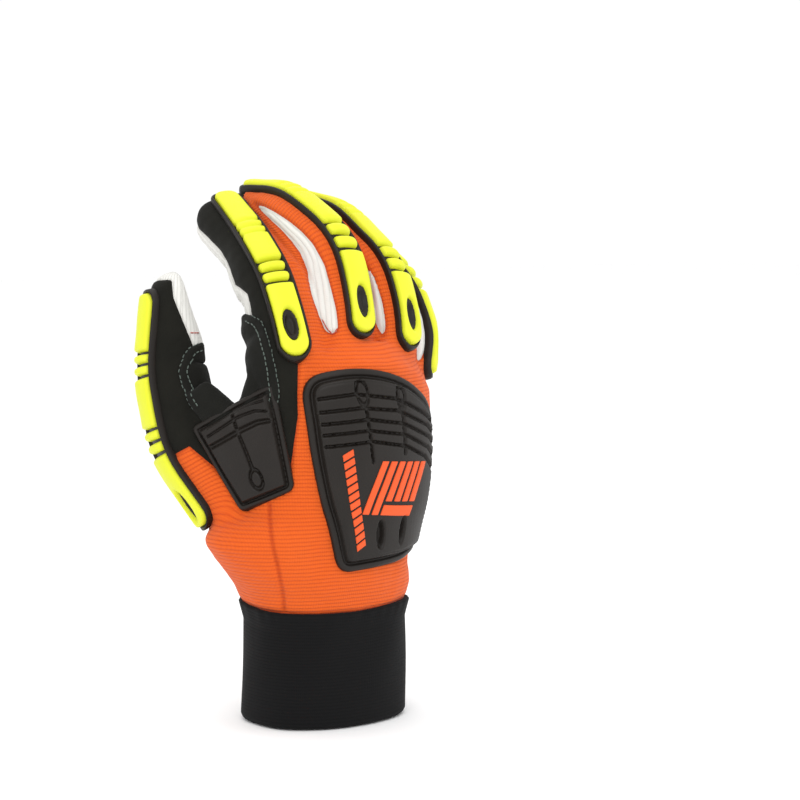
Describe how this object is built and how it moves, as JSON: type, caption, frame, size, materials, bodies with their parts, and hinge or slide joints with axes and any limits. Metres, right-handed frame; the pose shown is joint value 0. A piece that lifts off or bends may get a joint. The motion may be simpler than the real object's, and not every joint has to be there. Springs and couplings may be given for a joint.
{
  "type": "mechanic glove",
  "caption": "Right-hand work glove with knitted back, canvas palm, rib-knit cuff, ribbed rubber guards along the fingers and thumb, and a rubber knuckle pad.",
  "frame": {"origin": "middle of the cuff's mouth, where the wrist goes in", "axes": "+Z from the cuff's mouth to the fingertips, -Y out of the back of the hand, +Y out of the palm, -X towards the thumb"},
  "size_m": [0.1258, 0.1002, 0.23],
  "materials": {
    "orange_knit": "matte fine-ribbed knit",
    "corded_canvas": "matte corded cotton canvas",
    "dark_suede": "matte synthetic suede",
    "dark_knit": "matte rib knit",
    "dark_rubber": "satin moulded rubber",
    "lime_rubber": "satin moulded rubber"
  },
  "bodies": {
    "root": {"back_panel": "orange_knit", "palm_panel": "corded_canvas", "side_panel": "dark_suede", "crotch_patch": "dark_suede", "knit_cuff": "dark_knit", "knuckle_pad": "dark_rubber", "crotch_guard": "dark_rubber", "index_guard_base": "dark_rubber", "index_guard_bar": "lime_rubber", "middle_guard_base": "dark_rubber", "middle_guard_bar": "lime_rubber", "ring_guard_base": "dark_rubber", "ring_guard_bar": "lime_rubber", "little_guard_base": "dark_rubber", "little_guard_bar": "lime_rubber", "thumb_guard_base": "dark_rubber", "thumb_guard_bar": "lime_rubber"}
  },
  "joints": []
}
